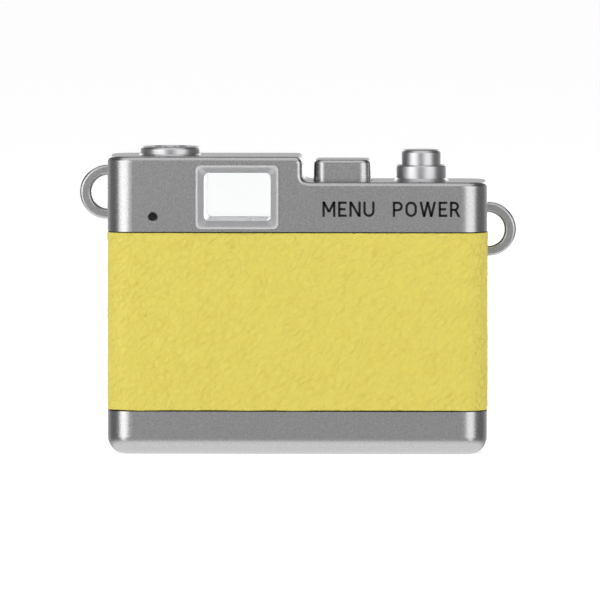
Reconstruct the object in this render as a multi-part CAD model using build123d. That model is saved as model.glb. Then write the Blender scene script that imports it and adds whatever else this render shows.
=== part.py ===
from build123d import *
import os

# A miniature retro-styled digital camera. Millimetres. +X is right when the
# camera is seen from behind, +Y is the way the lens looks, +Z is up. The
# origin is the middle of the base.

# ---- overall sizes ----
body_width = 44.4
body_depth = 12.0
corner_radius = 3.0
bottom_height = 5.03
band_height = 21.0
shelf_rise = 5.79
raised_rise = 8.77
lens_projection = 6.05

# ---- walls, skins and clearances ----
wall = 1.2
skin = 0.6
shell_wall = 1.4
lip_height = 1.2
fit = 0.05
loose = 0.2
seam = 0.12

# ---- edges of the covers ----
rim_fillet = 0.6
base_fillet = 2.0
step_x = 0.6
step_corner = 0.8
step_foot = 0.9

# ---- snap catches between shells and covers ----
catch_length = 4.0
catch_height = 0.5
catch_from_end = 5.4

# ---- finder ----
finder_from_left = 15.25
finder_rise = 4.07
finder_width = 7.8
finder_height = 5.6
finder_corner = 0.6
finder_wall = 0.6
frame_border = 0.93
frame_proud = 0.45
frame_edge = 0.25
funnel_depth = 0.95
window_thickness = 0.8
window_rebate = 0.2

# ---- disc on the raised end ----
disc_from_left = 7.25
disc_radius = 3.5
disc_height = 1.0
disc_edge = 0.38
disc_foot = 0.15
disc_spigot_radius = 1.6
disc_dish_radius = 2.2
disc_dish_depth = 0.25
disc_boss_radius = 1.1

# ---- mode button ----
mode_width = 6.7
mode_depth = 7.0
mode_corner = 1.3
mode_height = 2.53
mode_draft = 0.07
mode_edge = 0.45

# ---- power button and its collar ----
power_from_right = 7.78
power_radius = 2.315
power_height = 3.63
power_edge = 0.45
collar_wall = 0.54
collar_height = 1.83
collar_foot = 0.3
collar_edge = 0.2
collar_sleeve = 0.4

# ---- under the buttons ----
button_gap = 0.08
button_travel = 0.4
flange_thickness = 0.75
flange_overhang = 0.5
power_flange = 0.7
flange_gap = 0.07
stem_radius = 1.1
stem_length = 0.75
switch_size = 3.6
switch_height = 1.3
plunger_radius = 0.9
plunger_length = 1.4
plunger_rise = 0.6
board_thickness = 0.8
switch_board_depth = 7.4
boss_radius = 1.0
boss_clear = 0.25
boss_gap = 0.065
board_screw_radius = 0.5
board_screw_head = 0.95
board_screw_head_height = 0.5
board_screw_grip = 2.0

# ---- strap lugs ----
lug_outer = 3.15
lug_standoff = 0.18
lug_inner = 2.0
lug_thickness = 1.6
lug_edge = 0.35
lug_flange = 0.7
lug_flange_half_depth = 1.5
lug_flange_half_height = 3.0
left_lug_rise = 4.41
right_lug_rise = 0.1

# ---- status light ----
light_from_left = 5.4
light_rise = 1.77
light_hole_radius = 0.5
light_pipe_radius = 0.45
light_recess = 0.6
light_hole_chamfer = 0.12
led_width = 1.6
led_height = 0.8
led_thickness = 0.6

# ---- lens, on the middle of the front ----
lens_bore_radius = 6.4
lens_spigot_wall = 0.6
lens_barrel_wall = 1.3
lens_rim_step = 0.5
lens_rim_length = 1.3
lens_flange_step = 1.3
lens_flange_thickness = 1.2
grip_thickness = 1.2
grip_length = 2.7
grip_flutes = 48
flute_radius = 0.24
bezel_wall = 0.5
bezel_opening = 3.0
bezel_recess = 1.9
cover_glass_thickness = 0.6
lens_edge = 0.25

# ---- camera module ----
holder_size = 6.4
holder_depth = 4.0
holder_wall = 0.7
cell_radius = 2.6
cell_length = 3.6
cell_bore = 1.9
front_element_thickness = 1.0
rear_element_thickness = 0.8
filter_size = 4.2
filter_thickness = 0.3
sensor_size = 4.4
sensor_thickness = 0.7

# ---- main board and what it carries ----
board_front_y = 1.2
board_low = 1.7
board_top_gap = 0.5
board_side_gap = 0.3
ear_width = 5.2
ear_rise = 3.6
chip_size = 8.0
chip_thickness = 0.9
chip_from_lens = 10.4
chip_rise = 13.0
mic_radius = 1.4
mic_thickness = 1.1
mic_hole_radius = 0.4
card_width = 11.0
card_height = 15.0
card_thickness = 0.9
card_corner = 0.8
card_low = 0.25
card_gap = 0.1
scoop_radius = 5.0
scoop_depth = 0.5
socket_from_lens = 9.5
socket_wall = 0.35
socket_height = 13.5
usb_from_lens = 9.0
usb_width = 7.5
usb_thickness = 2.6
usb_height = 5.5
usb_wall = 0.3
usb_corner = 0.9
usb_low = 0.6
usb_tongue_thickness = 0.7
usb_tongue_width = 3.7

# ---- battery ----
battery_width = 26.0
battery_height = 17.0
battery_thickness = 3.5
battery_rise = 1.2
battery_corner = 0.7
tape_thickness = 0.4
tape_border = 3.0
lead_radius = 0.3
lead_spacing = 4.0
lead_rise = 1.2
lead_bend_radius = 0.54

# ---- posts and screws that hold the two shells together ----
post_radius = 1.8
post_shoulder_radius = 2.2
post_side_gap = 0.1
post_rise = 3.2
shell_parting = -1.0
screw_radius = 0.7
screw_head_radius = 1.25
screw_head_height = 0.9
screw_length = 7.0
screw_slot = 0.35
screw_slot_length = 1.75

# ---- flat flex cable ----
flex_width = 5.0
flex_thickness = 0.15
flex_radius = 0.5
flex_overlap = 2.0

# ---- places worked out from the sizes above ----
half_width = body_width / 2
half_depth = body_depth / 2
band_low = bottom_height
band_high = band_low + band_height
shelf_top = band_high + shelf_rise
shelf_under = shelf_top - wall
raised_top = band_high + raised_rise
shell_inset = skin + shell_wall
front_wall_in = half_depth - shell_inset
front_face = half_depth - skin
finder_x = finder_from_left - half_width
finder_z = band_high + finder_rise
disc_x = disc_from_left - half_width
light_x = light_from_left - half_width
light_z = band_high + light_rise
power_x = half_width - power_from_right
power_flange_radius = power_radius + power_flange
mode_flange_reach = mode_width / 2 + flange_overhang
button_pitch = mode_flange_reach + boss_gap + 2 * boss_radius + boss_clear + power_flange_radius
mode_x = power_x - button_pitch
lens_z = band_low + band_height / 2
lens_spigot_radius = lens_bore_radius + lens_spigot_wall
lens_barrel_radius = lens_bore_radius + lens_barrel_wall
lens_rim_radius = lens_barrel_radius + lens_rim_step
lens_flange_radius = lens_rim_radius + lens_flange_step
grip_radius = lens_barrel_radius + grip_thickness
lens_front = half_depth + lens_projection
flange_top = shelf_under - flange_gap
stem_bottom = flange_top - flange_thickness - stem_length
switch_top = stem_bottom - plunger_rise
switch_board_top = switch_top - switch_height
switch_board_low = switch_board_top - board_thickness
board_back_y = board_front_y - board_thickness
board_high = band_high - board_top_gap
board_half_width = half_width - shell_inset - board_side_gap
ear_inner_x = -board_half_width + ear_width
post_x = half_width - shell_inset - post_shoulder_radius - post_side_gap
post_heights = (band_low + post_rise, band_high - post_rise)
boss_inner_x = power_x - power_flange_radius - boss_clear - boss_radius
boss_outer_x = power_x + power_flange_radius + boss_clear + boss_radius
battery_back_y = -front_wall_in + tape_thickness
battery_low = band_low + battery_rise
socket_thickness = card_thickness + 2 * (socket_wall + card_gap)
card_y = board_front_y + socket_thickness / 2
usb_y = board_front_y + usb_thickness / 2


def span(x_low, x_high, y_low, y_high, z_low, z_high):
    """A box given by its lowest and highest corners."""
    middle = ((x_low + x_high) / 2, (y_low + y_high) / 2, (z_low + z_high) / 2)
    return Pos(*middle) * Box(x_high - x_low, y_high - y_low, z_high - z_low)


def rod_z(radius, z_low, z_high, x=0.0, y=0.0):
    """An upright round bar."""
    return Pos(x, y, (z_low + z_high) / 2) * Cylinder(radius, z_high - z_low)


def rod_y(radius, y_low, y_high, x, z):
    """A round bar along the lens direction."""
    bar = Rot(X=90) * Cylinder(radius, y_high - y_low)
    return Pos(x, (y_low + y_high) / 2, z) * bar


def turned(outline, x, z):
    """A body of revolution about a line along Y; outline points are (radius, y)."""
    face = make_face(Polyline(*outline, close=True))
    return Pos(x, 0, z) * revolve(face, axis=Axis.Y)


def panel(width, height, corner, y_low, y_high, x, z):
    """A round-cornered rectangular bar along the lens direction."""
    sketch = Pos(x, z) * RectangleRounded(width, height, corner)
    placed = Plane((0, y_high, 0), x_dir=(1, 0, 0), z_dir=(0, -1, 0)) * sketch
    return extrude(placed, amount=y_high - y_low)


def pad(width, depth, corner, z_low, z_high, x, y=0.0):
    """A round-cornered rectangular block standing upright."""
    sketch = Pos(x, y, z_low) * RectangleRounded(width, depth, corner)
    return extrude(sketch, amount=z_high - z_low)


def plan_block(inset, z_low, z_high):
    """The camera's rounded plan, moved in by inset, between two heights."""
    return pad(
        body_width - 2 * inset, body_depth - 2 * inset, corner_radius - inset, z_low, z_high, 0
    )


def plan_ring(outer_inset, inner_inset, z_low, z_high):
    """A wall that follows the plan all the way round."""
    return plan_block(outer_inset, z_low, z_high) - plan_block(inner_inset, z_low, z_high)


def half_space(side):
    """Everything behind (-1) or in front of (+1) the middle plane, as a large block."""
    reach = 2 * body_width
    y_low, y_high = sorted((0, side * reach))
    return span(-reach, reach, y_low, y_high, -reach, reach)


def stepped_block(inset):
    """The top cover's outside, or its hollow when moved in by a wall."""
    left, right, low = -half_width, half_width, band_high - (wall if inset else 0)
    points = [
        (left, low),
        (right, low),
        (right, shelf_top - inset),
        (step_x - inset, shelf_top - inset),
        (step_x - inset, raised_top - inset),
        (left, raised_top - inset),
    ]
    radii = [0, 0, 0, step_foot, step_corner, 0]
    outline = make_face(FilletPolyline(*points, radius=radii, close=True))
    slab = extrude(Plane.XZ * outline, amount=half_depth, both=True)
    return plan_block(inset, low, raised_top) & slab


def is_rim_edge(edge):
    """True on the line where the cover's side walls meet its top faces."""
    centre, along = edge.center(), edge.tangent_at(0.5)
    on_bottom = centre.Z < band_high + fit
    crosses_top = abs(along.Y) > 0.99 and abs(centre.X) < half_width - fit
    on_corner = abs(along.Z) > 0.99 and abs(centre.X) > half_width - corner_radius - fit
    return not (on_bottom or crosses_top or on_corner)


def catches(z, grow=0.0):
    """Four small ridges on a lip, or the grooves that they snap into."""
    length, height = catch_length + 2 * grow, catch_height + 2 * grow
    ridges = []
    for side in (-1, 1):
        for end in (-1, 1):
            x = end * (half_width - catch_from_end)
            inner = half_depth - wall - 2 * fit
            outer = half_depth - wall + 2 * fit + grow
            y_low, y_high = sorted((side * inner, side * outer))
            ridges.append(
                span(x - length / 2, x + length / 2, y_low, y_high, z - height / 2, z + height / 2)
            )
    return ridges


# ---- strap lugs ----


def lug_loop(x, z, side):
    """Half a flat ring standing out from the end wall, its edges eased."""
    ring = Pos(side * lug_standoff, 0) * Circle(lug_outer) - Circle(lug_inner)
    outside = Pos(side * 2 * lug_outer, 0) * Rectangle(4 * lug_outer, 4 * lug_outer)
    half = extrude(Plane.XZ * (ring & outside), amount=lug_thickness / 2, both=True)
    arcs = half.edges().filter_by(GeomType.CIRCLE)
    return Pos(x, 0, z) * fillet(arcs, lug_edge)


def lug_root(x, z, side, gap=0.0):
    """The tongue through the end wall and the wider flange behind it."""
    tongue_x = sorted((x, x - side * wall))
    flange_x = sorted((x - side * (wall - gap), x - side * (wall + lug_flange + gap)))
    half_tongue, half_flange = lug_thickness / 2 + gap, lug_flange_half_depth + gap
    tongue_z, flange_z = lug_outer + gap, lug_flange_half_height + gap
    tongue = span(*tongue_x, -half_tongue, half_tongue, z - tongue_z, z + tongue_z)
    flange = span(*flange_x, -half_flange, half_flange, z - flange_z, z + flange_z)
    return tongue + flange


LUGS = {"left": (-1, band_high + left_lug_rise), "right": (1, band_high + right_lug_rise)}


def strap_lug(name):
    """A strap lug: a half ring, its tongue and its flange in one piece."""
    side, z = LUGS[name]
    x = side * half_width
    return lug_loop(x, z, side) + lug_root(x, z, side)


def lug_pockets():
    """The room that both lugs' roots need in the walls."""
    return [lug_root(side * half_width, z, side, fit) for side, z in LUGS.values()]


# ---- covers ----


def top_cover():
    """The silver top: a raised end, a step and a shelf, hollow from below."""
    block = stepped_block(0)
    cover = fillet(block.edges().filter_by(is_rim_edge), rim_fillet)
    cover -= stepped_block(wall)
    for x in (boss_inner_x, boss_outer_x):
        cover += rod_z(boss_radius, switch_board_top, shelf_under + fit, x)
        cover -= rod_z(board_screw_radius, switch_board_top, switch_board_top + board_screw_grip, x)
    tube_width = finder_width + 2 * (finder_wall + fit)
    tube_height = finder_height + 2 * (finder_wall + fit)
    tube = panel(
        tube_width, tube_height, finder_corner + finder_wall, -half_depth, half_depth, finder_x, finder_z
    )
    mode_hole = pad(
        mode_width + 2 * button_gap, mode_depth + 2 * button_gap, mode_corner + button_gap,
        shelf_under - fit, shelf_top + fit, mode_x,
    )
    sleeve_hole = rod_z(
        power_radius + button_gap + collar_sleeve + fit, shelf_under - fit, shelf_top + fit, power_x
    )
    spigot_hole = rod_z(disc_spigot_radius + fit, raised_top - 2 * wall, raised_top, disc_x)
    light_hole = rod_y(light_hole_radius, -half_depth, -half_depth + 2 * wall, light_x, light_z)
    chamfer_radius = light_hole_radius + light_hole_chamfer
    countersink = turned(
        [(0, -half_depth), (chamfer_radius, -half_depth), (0, chamfer_radius - half_depth)],
        light_x, light_z,
    )
    mic_hole = rod_y(mic_hole_radius, half_depth - 2 * wall, half_depth, light_x, light_z)
    cover -= [tube, mode_hole, sleeve_hole, spigot_hole, light_hole, countersink, mic_hole]
    return cover - lug_pockets() - catches(band_high + lip_height / 2, fit)


def card_way(gap):
    """The card's path down through the floor, with a gap all round."""
    half = card_width / 2 + gap
    return span(
        -socket_from_lens - half, -socket_from_lens + half,
        card_y - card_thickness / 2 - gap, card_y + card_thickness / 2 + gap, -wall, 2 * wall,
    )


def bottom_cover():
    """The silver base: a rounded tray with slots for the card and the USB plug."""
    block = plan_block(0, 0, band_low)
    tray = fillet(block.faces().sort_by(Axis.Z)[0].edges(), base_fillet)
    tray -= plan_block(wall, wall, band_low)
    scoop_centre = Pos(-socket_from_lens, card_y, scoop_depth - scoop_radius)
    thumb_scoop = scoop_centre * Sphere(scoop_radius)
    usb_way = pad(
        usb_width + 2 * loose, usb_thickness + 2 * loose, usb_thickness / 2,
        -wall, 2 * wall, usb_from_lens, usb_y,
    )
    tray -= [card_way(loose), thumb_scoop, usb_way]
    return tray - catches(band_low - lip_height / 2, fit)


# ---- shells and leatherette ----


def shell_posts():
    """The front shell's four posts, each with a shoulder that the main board rests on."""
    posts = []
    for x in (-post_x, post_x):
        for z in post_heights:
            shoulder = rod_y(post_shoulder_radius, board_front_y, front_wall_in + fit, x, z)
            posts.append(shoulder + rod_y(post_radius, shell_parting, board_front_y, x, z))
    return posts


def finder_notch():
    """The room that the finder tube needs between the shells' lips."""
    half = finder_width / 2 + finder_wall + loose
    low = finder_z - finder_height / 2 - finder_wall - loose
    return span(
        finder_x - half, finder_x + half, -half_depth, half_depth, low, low + finder_height
    )


def shell_ring():
    """The middle body before it is split: a wall with a lip at each end."""
    ring = plan_ring(skin, shell_inset, band_low, band_high)
    ring += plan_ring(wall + fit, shell_inset, band_low - lip_height, band_high + lip_height)
    for z in (band_low - lip_height / 2, band_high + lip_height / 2):
        ring += catches(z)
    return ring - finder_notch() - lug_pockets()


def front_shell():
    """The front half, with the posts and the hole that the camera module looks through."""
    shell = (shell_ring() & half_space(1)) + shell_posts()
    for x in (-post_x, post_x):
        for z in post_heights:
            shell -= rod_y(screw_radius + fit / 2, shell_parting, screw_end_y(), x, z)
    window = holder_size / 2**0.5 + loose
    return shell - rod_y(window, front_wall_in - wall, half_depth, 0, lens_z)


def screw_end_y():
    """How far forward the shell screws reach."""
    return -front_face + screw_head_height + screw_length


def rear_shell():
    """The rear half, with a tower round each screw and a seat for its head."""
    shell = shell_ring() & half_space(-1)
    for x in (-post_x, post_x):
        for z in post_heights:
            shell += rod_y(post_radius, -front_wall_in - fit, shell_parting, x, z)
            shell -= rod_y(screw_radius + loose, -half_depth, shell_parting, x, z)
            seat = screw_head_radius + loose
            shell -= rod_y(seat, -front_face, -front_face + screw_head_height, x, z)
    return shell


def leatherette(side):
    """Half of the wrap: a thin skin round the front or the rear of the middle body."""
    wrap = plan_ring(0, skin, band_low + seam, band_high - seam) & half_space(side)
    return wrap - lug_pockets()


def leatherette_front():
    """The front skin, cut round the lens flange."""
    hole = rod_y(lens_flange_radius + fit, 0, half_depth + skin, 0, lens_z)
    return leatherette(1) - hole


# ---- finder ----


def funnel(y_wide, y_narrow):
    """The sloping sides that lead from a frame's rim down to the opening."""
    wide = frame_border - frame_edge
    outer = RectangleRounded(finder_width + 2 * wide, finder_height + 2 * wide, finder_corner)
    inner = RectangleRounded(finder_width, finder_height, finder_corner)
    return loft(
        [
            Plane((finder_x, y_wide, finder_z), x_dir=(1, 0, 0), z_dir=(0, -1, 0)) * outer,
            Plane((finder_x, y_narrow, finder_z), x_dir=(1, 0, 0), z_dir=(0, -1, 0)) * inner,
        ]
    )


def frame_plate(side):
    """The raised frame that borders the finder on one face, its outer edge eased."""
    y_low, y_high = sorted((side * half_depth, side * (half_depth + frame_proud)))
    width = finder_width + 2 * frame_border
    height = finder_height + 2 * frame_border
    plate = panel(width, height, finder_corner, y_low, y_high, finder_x, finder_z)
    rim = plate.faces().sort_by(Axis.Y)[-1 if side > 0 else 0].edges()
    return fillet(rim, frame_edge / 2)


def finder_bar(grow, y_low, y_high):
    """The see-through opening as a bar, grown evenly on all four sides."""
    return panel(
        finder_width + 2 * grow, finder_height + 2 * grow, finder_corner + grow,
        y_low, y_high, finder_x, finder_z,
    )


def finder_tube():
    """The rear frame and the tube that runs from it to the window."""
    front = half_depth - window_thickness
    tube = frame_plate(-1) + finder_bar(finder_wall, -half_depth, front)
    tube -= finder_bar(0, -half_depth - frame_proud, front)
    tube -= finder_bar(window_rebate + fit, front - window_thickness, front)
    return tube - funnel(-half_depth - frame_proud, -half_depth - frame_proud + funnel_depth)


def finder_front_frame():
    """The front frame; its spigot holds the window against the tube."""
    back = half_depth - window_thickness
    frame = frame_plate(1) + finder_bar(finder_wall, back, half_depth)
    frame -= finder_bar(0, back, half_depth + frame_proud)
    return frame - funnel(half_depth + frame_proud, half_depth + frame_proud - funnel_depth)


def finder_window():
    """The clear pane in the tube's front rebate."""
    front = half_depth - window_thickness
    return finder_bar(window_rebate, front - window_thickness, front)


# ---- disc, buttons and collar ----


def rewind_disc():
    """A low turned disc with a dished top, held by a spigot through the cover."""
    top = raised_top + disc_height
    dish = top - disc_dish_depth
    disc = turned_upright(
        [
            (0, raised_top - wall - loose),
            (disc_spigot_radius, raised_top - wall - loose),
            (disc_spigot_radius, raised_top),
            (disc_radius + disc_foot, raised_top),
            (disc_radius, raised_top + disc_foot),
            (disc_radius, top),
            (disc_dish_radius, top),
            (disc_dish_radius - disc_dish_depth, dish),
            (disc_boss_radius, dish),
            (disc_boss_radius - disc_dish_depth, top),
            (0, top),
        ],
        disc_x,
    )
    return fillet(top_circle(disc, disc_radius, top), disc_edge)


def turned_upright(outline, x):
    """A body of revolution about an upright line; outline points are (radius, z)."""
    face = make_face(Polyline(*outline, close=True))
    return Pos(x, 0, 0) * revolve(Plane.XZ * face, axis=Axis.Z)


def top_circle(part, radius, z):
    """The round edge of that radius at that height."""
    circles = part.edges().filter_by(GeomType.CIRCLE)
    return [e for e in circles if abs(e.radius - radius) < fit / 2 and abs(e.center().Z - z) < fit / 2]


def mode_button():
    """A rectangular cap with a retaining flange and a stem that presses its switch."""
    straight_top = shelf_top + button_travel
    shaft = pad(mode_width, mode_depth, mode_corner, flange_top, straight_top, mode_x)
    low_face = RectangleRounded(mode_width, mode_depth, mode_corner)
    high_face = RectangleRounded(
        mode_width - 2 * mode_draft, mode_depth - 2 * mode_draft, mode_corner - mode_draft
    )
    cap_top = shelf_top + mode_height
    cap = shaft + loft([Pos(mode_x, 0, straight_top) * low_face, Pos(mode_x, 0, cap_top) * high_face])
    cap = fillet(cap.faces().sort_by(Axis.Z)[-1].edges(), mode_edge)
    flange = pad(
        mode_width + 2 * flange_overhang, mode_depth + 2 * flange_overhang, mode_corner,
        flange_top - flange_thickness, flange_top, mode_x,
    )
    return cap + flange + rod_z(stem_radius, stem_bottom, flange_top - flange_thickness, mode_x)


def power_button():
    """A round cap with a retaining flange and a stem that presses its switch."""
    top = shelf_top + power_height
    cap = rod_z(power_radius, flange_top, top, power_x)
    cap = fillet(top_circle(cap, power_radius, top), power_edge)
    flange = rod_z(power_flange_radius, flange_top - flange_thickness, flange_top, power_x)
    return cap + flange + rod_z(stem_radius, stem_bottom, flange_top - flange_thickness, power_x)


def power_collar():
    """The ring round the power button, with a sleeve that seats in the shelf."""
    bore = power_radius + button_gap
    sleeve = bore + collar_sleeve
    outer = bore + collar_wall
    top = shelf_top + collar_height
    collar = turned_upright(
        [
            (bore, shelf_under),
            (sleeve, shelf_under),
            (sleeve, shelf_top),
            (outer + collar_foot, shelf_top),
            (outer, shelf_top + collar_foot),
            (outer, top),
            (bore, top),
        ],
        power_x,
    )
    return fillet(top_circle(collar, outer, top), collar_edge)


# ---- switches under the buttons ----


def switch_board():
    """The small board under the shelf, screwed to the cover's two bosses."""
    x_low, x_high = step_x, boss_outer_x + boss_radius
    board = pad(
        x_high - x_low, switch_board_depth, boss_radius,
        switch_board_low, switch_board_top, (x_low + x_high) / 2,
    )
    for x in (boss_inner_x, boss_outer_x):
        board -= rod_z(board_screw_radius + fit, switch_board_low, switch_board_top, x)
    return board


def switch_body(x):
    """A tactile switch's square case with a round well for its plunger."""
    half = switch_size / 2
    case = span(x - half, x + half, -half, half, switch_board_top, switch_top)
    well_low = stem_bottom - plunger_length - button_travel - fit
    return case - rod_z(plunger_radius + fit, well_low, switch_top, x)


def switch_plunger(x):
    """The switch's moving plunger, in touch with the button's stem."""
    return rod_z(plunger_radius, stem_bottom - plunger_length, stem_bottom, x)


def board_screw(x):
    """A small screw from under the switch board up into a boss."""
    grip = switch_board_top + board_screw_grip - fit
    shank = rod_z(board_screw_radius - fit / 2, switch_board_low, grip, x)
    head_low = switch_board_low - board_screw_head_height
    head = rod_z(board_screw_head, head_low, switch_board_low, x)
    slot = Pos(x, 0, head_low) * Box(2 * board_screw_head, screw_slot, board_screw_head_height)
    return shank + head - slot


# ---- lens barrel on the front ----


def lens_flange():
    """The mounting ring that sits on the front shell inside the leatherette."""
    outer = front_face + lens_flange_thickness
    bore = lens_spigot_radius + fit
    return turned(
        [
            (bore, front_face),
            (lens_flange_radius, front_face),
            (lens_flange_radius, outer - lens_edge),
            (lens_flange_radius - lens_edge, outer),
            (bore, outer),
        ],
        0, lens_z,
    )


def barrel_steps():
    """The heights of the barrel's steps: flange top, grip start, grip end, front."""
    seat = front_face + lens_flange_thickness
    rim = lens_front - lens_rim_length
    return seat, rim - grip_length, rim, lens_front


def lens_barrel():
    """The stepped barrel: a spigot, a plain neck, the grip's seat and a front rim."""
    seat, grip_low, rim, front = barrel_steps()
    return turned(
        [
            (lens_bore_radius, front_face),
            (lens_spigot_radius, front_face),
            (lens_spigot_radius, seat),
            (lens_rim_radius, seat),
            (lens_rim_radius, grip_low),
            (lens_barrel_radius, grip_low),
            (lens_barrel_radius, rim),
            (lens_rim_radius, rim),
            (lens_rim_radius, front - lens_edge),
            (lens_rim_radius - lens_edge, front),
            (lens_bore_radius + bezel_wall, front),
            (lens_bore_radius + bezel_wall, front - bezel_wall),
            (lens_bore_radius, front - bezel_wall),
        ],
        0, lens_z,
    )


def lens_grip_ring():
    """The ribbed ring round the barrel, fixed trim with a row of fine flutes."""
    _, low, high, _ = barrel_steps()
    bore = lens_barrel_radius + fit
    ring = turned(
        [
            (bore, low + fit),
            (grip_radius - lens_edge, low + fit),
            (grip_radius, low + fit + lens_edge),
            (grip_radius, high - fit - lens_edge),
            (grip_radius - lens_edge, high - fit),
            (bore, high - fit),
        ],
        0, lens_z,
    )
    flute = Pos(grip_radius, 0, 0) * Rot(X=90) * Cylinder(flute_radius, grip_length - 2 * lens_edge)
    angles = [360 * i / grip_flutes for i in range(grip_flutes)]
    middle = Pos(0, (low + high) / 2, lens_z)
    return ring - [middle * Rot(Y=angle) * flute for angle in angles]


def lens_bezel():
    """The black stepped cone between the barrel's rim and the cover glass."""
    front = lens_front
    recess = front - bezel_recess
    glass = recess - cover_glass_thickness
    outer = lens_bore_radius - fit
    step = (outer - bezel_opening) / 3
    lip = lens_bore_radius + bezel_wall - fit
    return turned(
        [
            (outer, glass),
            (outer, front - bezel_wall),
            (lip, front - bezel_wall),
            (lip, front - lens_edge),
            (outer - bezel_wall, front - lens_edge),
            (outer - step, front - bezel_wall),
            (outer - step, front - 2 * bezel_wall),
            (outer - 2 * step, front - 2 * bezel_wall),
            (bezel_opening, recess),
            (bezel_opening, glass),
        ],
        0, lens_z,
    )


def lens_cover_glass():
    """The clear disc in the middle of the bezel."""
    recess = lens_front - bezel_recess
    return rod_y(bezel_opening - fit, recess - cover_glass_thickness, recess, 0, lens_z)


# ---- camera module ----


def holder_front_y():
    """The front end of the lens holder."""
    return board_front_y + holder_depth


def lens_holder():
    """The square box over the sensor, with a round bore for the lens cell."""
    half = holder_size / 2
    box = span(-half, half, board_front_y, holder_front_y(), lens_z - half, lens_z + half)
    room = half - holder_wall
    ceiling = board_front_y + sensor_thickness + filter_thickness + holder_wall
    box -= span(-room, room, board_front_y, ceiling, lens_z - room, lens_z + room)
    return box - rod_y(cell_radius + fit, board_front_y, holder_front_y(), 0, lens_z)


def cell_back_y():
    """The rear end of the lens cell."""
    return board_front_y + sensor_thickness + filter_thickness + holder_wall


def lens_cell():
    """The tube that holds both elements."""
    back = cell_back_y()
    tube = rod_y(cell_radius, back, back + cell_length, 0, lens_z)
    return tube - rod_y(cell_bore, back, back + cell_length, 0, lens_z)


def element(y_low, thickness, bulge):
    """A round glass element whose front face bulges forward."""
    blank = rod_y(cell_bore - fit / 2, y_low, y_low + thickness, 0, lens_z)
    radius = (cell_bore**2 + bulge**2) / (2 * bulge)
    ball = Pos(0, y_low + thickness - radius, lens_z) * Sphere(radius)
    return blank & ball


def image_sensor():
    """The sensor chip on the main board."""
    half = sensor_size / 2
    return span(
        -half, half, board_front_y, board_front_y + sensor_thickness, lens_z - half, lens_z + half
    )


def infrared_filter():
    """The thin filter pane in front of the sensor."""
    half = filter_size / 2
    back = board_front_y + sensor_thickness
    return span(-half, half, back, back + filter_thickness, lens_z - half, lens_z + half)


# ---- main board and what it carries ----


def main_board():
    """The upright board, with an ear that carries the status light up to its hole."""
    board = span(
        -board_half_width, board_half_width, board_back_y, board_front_y, board_low, board_high
    )
    ear_top = board_high + ear_rise
    board += span(
        -board_half_width, ear_inner_x, board_back_y, board_front_y, board_high, ear_top
    )
    for x in (-post_x, post_x):
        for z in post_heights:
            board -= rod_y(post_radius + fit, board_back_y, board_front_y, x, z)
    return board


def processor():
    """The main chip."""
    half = chip_size / 2
    z = band_low + chip_rise
    return span(
        chip_from_lens - half, chip_from_lens + half,
        board_front_y, board_front_y + chip_thickness, z - half, z + half,
    )


def card_socket():
    """A thin metal box on the board, open below, that takes the memory card."""
    half = card_width / 2 + card_gap + socket_wall
    x, back = -socket_from_lens, board_front_y
    box = span(x - half, x + half, back, back + socket_thickness, board_low, board_low + socket_height)
    room = half - socket_wall
    ceiling = card_low + card_height + card_gap
    return box - span(
        x - room, x + room, back + socket_wall, back + socket_thickness - socket_wall, 0, ceiling
    )


def memory_card():
    """A standard miniature memory card, its top corner notched."""
    card = panel(
        card_width, card_height, card_corner, card_y - card_thickness / 2, card_y + card_thickness / 2,
        -socket_from_lens, card_low + card_height / 2,
    )
    grip = span(
        -socket_from_lens - card_width, -socket_from_lens + card_width,
        card_y + card_thickness / 4, card_y + card_thickness, 2 * card_corner, 3 * card_corner,
    )
    return card - grip


def usb_port():
    """A folded metal shell with a contact tongue, its mouth in the base."""
    z_high = usb_low + usb_height
    shell = pad(usb_width, usb_thickness, usb_corner, usb_low, z_high, usb_from_lens, usb_y)
    shell -= pad(
        usb_width - 2 * usb_wall, usb_thickness - 2 * usb_wall, usb_corner - usb_wall,
        usb_low, z_high - usb_wall, usb_from_lens, usb_y,
    )
    half, thin = usb_tongue_width / 2, usb_tongue_thickness / 2
    return shell + span(
        usb_from_lens - half, usb_from_lens + half, usb_y - thin, usb_y + thin,
        usb_low + usb_wall, z_high - usb_wall / 2,
    )


def status_led():
    """The status light on the board's ear."""
    return span(
        light_x - led_width / 2, light_x + led_width / 2,
        board_back_y - led_thickness, board_back_y, light_z - led_height / 2, light_z + led_height / 2,
    )


def light_pipe():
    """The clear rod that leads the light from the LED to its hole in the cover."""
    back = -half_depth + light_recess
    return rod_y(light_pipe_radius, back, board_back_y - led_thickness, light_x, light_z)


def microphone():
    """The microphone can behind the pin hole in the front."""
    return rod_y(mic_radius, board_front_y, board_front_y + mic_thickness, light_x, light_z)


# ---- battery ----


def battery():
    """The pouch cell behind the board, its long edges rounded."""
    front = battery_back_y + battery_thickness
    z = battery_low + battery_height / 2
    return panel(battery_width, battery_height, battery_corner, battery_back_y, front, 0, z)


def battery_tape():
    """The foam tape that holds the cell to the rear shell."""
    half_x = battery_width / 2 - tape_border
    low, high = battery_low + tape_border, battery_low + battery_height - tape_border
    return span(-half_x, half_x, -front_wall_in, battery_back_y, low, high)


def battery_lead(x):
    """One short lead from the top of the cell forward to the board."""
    y = battery_back_y + battery_thickness / 2
    low = battery_low + battery_height
    high = low + lead_rise
    bends = [(x, y, low), (x, y, high), (x, board_back_y, high)]
    path = FilletPolyline(*bends, radius=lead_bend_radius)
    section = Plane((x, y, low), z_dir=(0, 0, 1)) * Circle(lead_radius)
    return sweep(section, path=path)


# ---- fasteners and cable ----


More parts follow.
